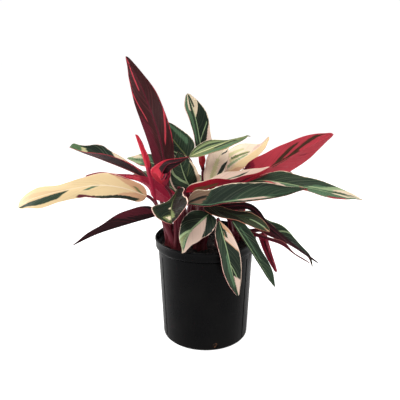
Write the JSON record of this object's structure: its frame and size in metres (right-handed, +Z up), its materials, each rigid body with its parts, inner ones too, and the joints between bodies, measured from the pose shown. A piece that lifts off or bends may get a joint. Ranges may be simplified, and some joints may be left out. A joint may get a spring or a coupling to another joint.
{
  "type": "potted plant",
  "caption": "Free-standing potted foliage plant: long green, cream and pink leaves, crimson below, on burgundy stalks in a tapered black nursery pot.",
  "frame": {"origin": "centre of the pot's underside, on the floor", "axes": "+Z up out of the pot, +X to the right along the spread of the leaves, -Y towards the viewer at the front"},
  "size_m": [0.7581, 0.4631, 0.6457],
  "materials": {
    "pot_plastic": "matte black moulded plastic",
    "potting_mix": "loose dark bark and peat mix",
    "stalks": "smooth burgundy to olive leaf sheaths",
    "blade_green": "waxy leaf, satin",
    "blade_cream": "waxy leaf, satin",
    "blade_pink": "waxy leaf, satin",
    "blade_maroon": "waxy leaf, satin",
    "blade_crimson": "waxy leaf, satin"
  },
  "bodies": {
    "root": {"pot": "pot_plastic", "potting_mix": "potting_mix", "shoot_front_left": "stalks", "shoot_left": "stalks", "shoot_middle": "stalks", "shoot_front_right": "stalks", "shoot_right": "stalks", "shoot_back": "stalks", "shoot_back_right": "stalks", "leaf_tall": "blade_maroon", "leaf_hooked": "blade_crimson", "leaf_rolled": "blade_crimson", "leaf_left_folded": "blade_green", "leaf_left_small": "blade_green", "leaf_cream_long": "blade_cream", "leaf_crimson": "blade_crimson", "leaf_maroon_low": "blade_maroon", "leaf_heart": "blade_green", "leaf_pink_front": "blade_cream", "leaf_hanging": "blade_green", "leaf_right_low": "blade_green", "leaf_olive_small": "blade_green", "leaf_right_droop": "blade_green", "leaf_right_arched": "blade_maroon", "leaf_right_thin": "blade_crimson", "leaf_right_down": "blade_crimson", "leaf_right_long": "blade_green", "leaf_right_longest": "blade_green", "leaf_pink_upper": "blade_pink", "leaf_cream_folded": "blade_cream", "leaf_cream_upright": "blade_cream", "leaf_cream_right": "blade_cream", "leaf_striped": "blade_green", "leaf_upright": "blade_green", "leaf_upright_small": "blade_crimson", "leaf_behind_tall": "blade_green", "leaf_centre": "blade_green", "leaf_back_1": "blade_green", "leaf_back_2": "blade_green", "leaf_back_3": "blade_green", "leaf_back_4": "blade_green", "leaf_back_5": "blade_green", "leaf_back_6": "blade_green", "leaf_back_7": "blade_green"}
  },
  "joints": []
}
